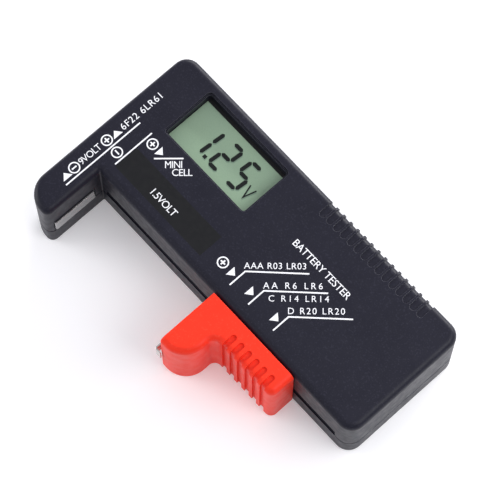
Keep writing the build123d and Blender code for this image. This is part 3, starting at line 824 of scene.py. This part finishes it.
def wind_spring():
    """The return spring: a wire with an eye at each end, wound where the spring part stands."""
    low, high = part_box("extension_spring")
    wire = WIRE_RADIUS
    eye = EYE_RADIUS
    axis_y, axis_z = (low.y + high.y) / 2, (low.z + high.z) / 2
    coil_radius = (high.y - low.y) / 2 - wire
    start_x, end_x = low.x + eye + wire, high.x - eye - wire
    first, last = start_x + eye + COIL_INSET, end_x - eye - COIL_INSET

    def around_eye(centre_x, angle):
        """A point of the eye round centre_x."""
        return Vector((centre_x + eye * math.cos(angle), axis_y + eye * math.sin(angle), axis_z))

    path = [around_eye(start_x, 2 * math.pi * i / EYE_STEPS) for i in range(EYE_STEPS - 1)]
    steps = SPRING_TURNS * STEPS_PER_TURN
    for i in range(steps + 1):
        angle = 2 * math.pi * i / STEPS_PER_TURN
        path.append(
            Vector(
                (
                    first + (last - first) * i / steps,
                    axis_y + coil_radius * math.sin(angle),
                    axis_z - coil_radius * math.cos(angle),
                )
            )
        )
    for i in range(1, EYE_STEPS):
        path.append(around_eye(end_x, math.pi + 2 * math.pi * i / EYE_STEPS))
    bm = bmesh.new()
    tube(bm, path, wire, WIRE_SIDES)
    bmesh.ops.recalc_face_normals(bm, faces=bm.faces)
    mesh = bpy.data.meshes.new("return_spring")
    bm.to_mesh(mesh)
    bm.free()
    for face in mesh.polygons:
        face.use_smooth = True
    drawn = (1.0, 3.0, 1.0)
    mesh.materials.append(plated("spring_steel_wire", srgb(176, 178, 180), drawn, 0.2, 0.35))
    spring = bpy.data.objects.new("return_spring", mesh)
    bpy.context.scene.collection.objects.link(spring)
    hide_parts("extension_spring")
    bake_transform(spring)


# -------------------------------------------------------- floor, light, view

# The table top is just below the base, so that the two don't flicker, and glows faintly
FLOOR_GAP = 0.05 * MM
FLOOR_HALF = 1.6
FLOOR_SQUARES = 32
FLOOR_GLOW = 0.18

# The surround brightens from the horizon to this height, as the upward part of a direction
SKY_FULL_AT = 0.95
SKY_LOW = 0.04
SKY_HIGH = 0.8

# The view: degrees from the -Y side towards +X, degrees above the table, and roll
VIEW_AROUND = 47.23
VIEW_ABOVE = 72.27
VIEW_ROLL = 0.46
VIEW_TARGET = (-4.21, 7.80, 10.0)
VIEW_DISTANCE = 698.18
LENS = 182.86
SENSOR = 36.0


def lay_floor():
    """A wide white table top at the height the tester stands on."""
    bm = bmesh.new()
    bmesh.ops.create_grid(
        bm, x_segments=FLOOR_SQUARES, y_segments=FLOOR_SQUARES, size=FLOOR_HALF
    )
    mesh = bpy.data.meshes.new("table_top")
    bm.to_mesh(mesh)
    bm.free()
    paper = Finish("white_sweep", (0.94, 0.94, 0.95), 0.7, specular=0.2)
    paper.tint(paper.noise(120.0, 2.0), (0.92, 0.92, 0.93), 0.5)
    paper.shader.inputs["Emission Color"].default_value = (1.0, 1.0, 1.0, 1.0)
    paper.shader.inputs["Emission Strength"].default_value = FLOOR_GLOW
    mesh.materials.append(paper.done())
    floor = bpy.data.objects.new("table_top", mesh)
    floor.location.z = cad_box[0].z - FLOOR_GAP
    bpy.context.scene.collection.objects.link(floor)


def soft_box(name, azimuth, elevation, distance, width, height, power):
    """An area light that faces the tester, placed by its angle from +X and its height angle."""
    lamp = bpy.data.lights.new(name, "AREA")
    lamp.shape = "RECTANGLE"
    lamp.size, lamp.size_y = width, height
    lamp.energy = power
    around, above = math.radians(azimuth), math.radians(elevation)
    away = Vector(
        (
            math.cos(above) * math.cos(around),
            math.cos(above) * math.sin(around),
            math.sin(above),
        )
    )
    holder = bpy.data.objects.new(name, lamp)
    holder.location = away * distance
    holder.rotation_euler = away.to_track_quat("Z", "Y").to_euler()
    bpy.context.scene.collection.objects.link(holder)


def light_studio():
    """A pale surround and soft boxes; azimuth 0 is +X and 90 is +Y."""
    world = bpy.data.worlds.new("studio")
    world.use_nodes = True
    tree = world.node_tree
    surround = tree.nodes["Background"]
    surround.inputs["Color"].default_value = (0.93, 0.93, 1.0, 1.0)
    direction = tree.nodes.new("ShaderNodeTexCoord")
    height = tree.nodes.new("ShaderNodeSeparateXYZ")
    tree.links.new(direction.outputs["Generated"], height.inputs["Vector"])
    brightness = tree.nodes.new("ShaderNodeMapRange")
    brightness.inputs["From Min"].default_value = 0.0
    brightness.inputs["From Max"].default_value = SKY_FULL_AT
    brightness.inputs["To Min"].default_value = SKY_LOW
    brightness.inputs["To Max"].default_value = SKY_HIGH
    tree.links.new(height.outputs["Z"], brightness.inputs["Value"])
    tree.links.new(brightness.outputs["Result"], surround.inputs["Strength"])
    bpy.context.scene.world = world
    soft_box("back_wall", 104, 17, 1.1, 1.2, 0.14, 16.0)
    soft_box("front_strip", -95, 42, 0.9, 0.7, 0.2, 0.5)
    soft_box("right_overhead", 25, 48, 0.3, 0.2, 0.15, 0.35)
    soft_box("left_low", 215, 16, 0.5, 0.25, 0.2, 1.0)


def place_camera():
    """A long lens above the near corner of the tester."""
    around, above, roll = (math.radians(a) for a in (VIEW_AROUND, VIEW_ABOVE, VIEW_ROLL))
    target = Vector(VIEW_TARGET) * MM
    distance = VIEW_DISTANCE * MM
    back = Vector(
        (
            math.sin(around) * math.cos(above),
            -math.cos(around) * math.cos(above),
            math.sin(above),
        )
    )
    up = Vector((0.0, 0.0, 1.0))
    up = (up - up.dot(back) * back).normalized()
    right = up.cross(back)
    turned_right = right * math.cos(roll) + up * math.sin(roll)
    turned_up = up * math.cos(roll) - right * math.sin(roll)
    lens = bpy.data.cameras.new("view")
    lens.sensor_width = SENSOR
    lens.lens = LENS
    lens.clip_start = 0.01
    camera = bpy.data.objects.new("view", lens)
    turn = Matrix((turned_right, turned_up, back)).transposed().to_4x4()
    camera.matrix_world = Matrix.Translation(target + back * distance) @ turn
    bpy.context.scene.collection.objects.link(camera)
    bpy.context.scene.camera = camera


dress_frame()
print_face()
draw_display()
wind_spring()
lay_floor()
light_studio()
place_camera()
bpy.context.scene.view_settings.view_transform = "Standard"
